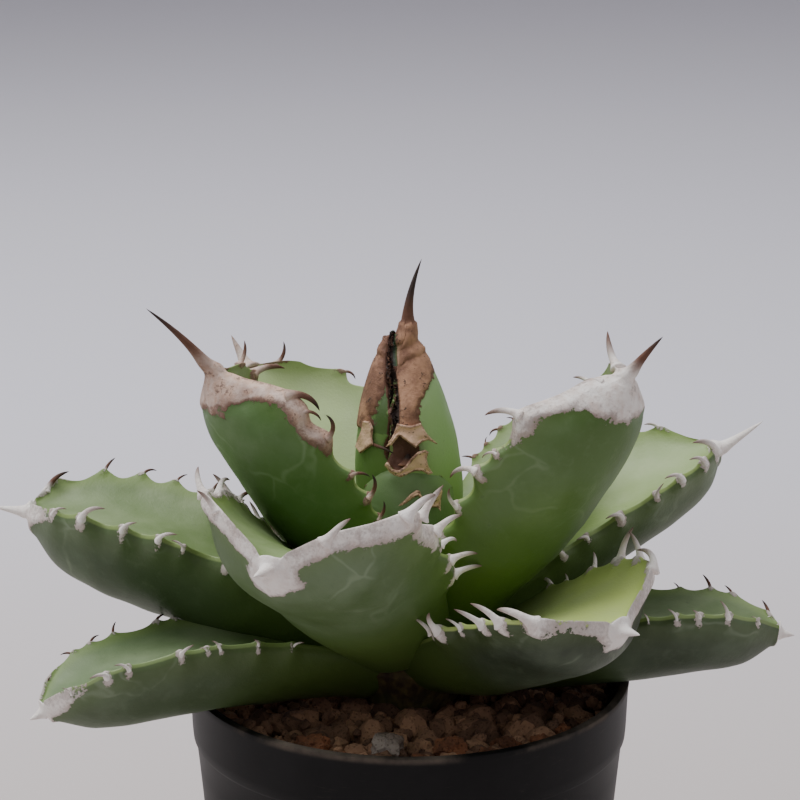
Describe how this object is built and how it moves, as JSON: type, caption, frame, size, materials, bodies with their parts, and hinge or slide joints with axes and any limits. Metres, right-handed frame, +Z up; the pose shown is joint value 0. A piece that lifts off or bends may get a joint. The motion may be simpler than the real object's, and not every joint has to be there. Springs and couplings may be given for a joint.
{
  "type": "potted agave",
  "caption": "Compact agave rosette of thick toothed leaves with hard end spines, growing in a gritty mix in a round black plastic nursery pot.",
  "frame": {"origin": "centre of the pot's underside, where its axis meets the surface it stands on", "axes": "+Z up along the pot's axis; -Y towards the side with the low front leaf; +X towards the longest right-hand leaf"},
  "size_m": [0.1623, 0.1229, 0.1643],
  "materials": {
    "pot_plastic": "black moulded plastic with a fine satin face, dusty at the rim",
    "soil_mix": "dark damp grit",
    "clay_grain": "baked clay lumps, rough and dull",
    "pumice_grain": "pitted pale pumice",
    "leaf": "waxy green leaf skin with a grey bloom, horn-white to brown margin, teeth and spine",
    "crown": "fibrous stem"
  },
  "bodies": {
    "root": {"pot": "pot_plastic", "soil": "soil_mix", "crown": "crown", "leaf_01": "leaf", "leaf_02": "leaf", "leaf_03": "leaf", "leaf_04": "leaf", "leaf_05": "leaf", "leaf_06": "leaf", "leaf_07": "leaf", "leaf_08": "leaf", "leaf_09": "leaf", "leaf_10": "leaf", "leaf_11": "leaf", "leaf_12": "leaf", "bud_leaf_front": "leaf", "bud_leaf_left": "leaf", "bud_leaf_right": "leaf", "pumice_01": "pumice_grain", "clay_01": "clay_grain", "clay_02": "clay_grain", "clay_03": "clay_grain", "clay_04": "clay_grain", "clay_05": "clay_grain", "clay_06": "clay_grain", "clay_07": "clay_grain", "clay_08": "clay_grain", "clay_09": "clay_grain", "clay_10": "clay_grain", "clay_11": "clay_grain", "clay_12": "clay_grain", "clay_13": "clay_grain", "clay_14": "clay_grain", "clay_15": "clay_grain"}
  },
  "joints": []
}
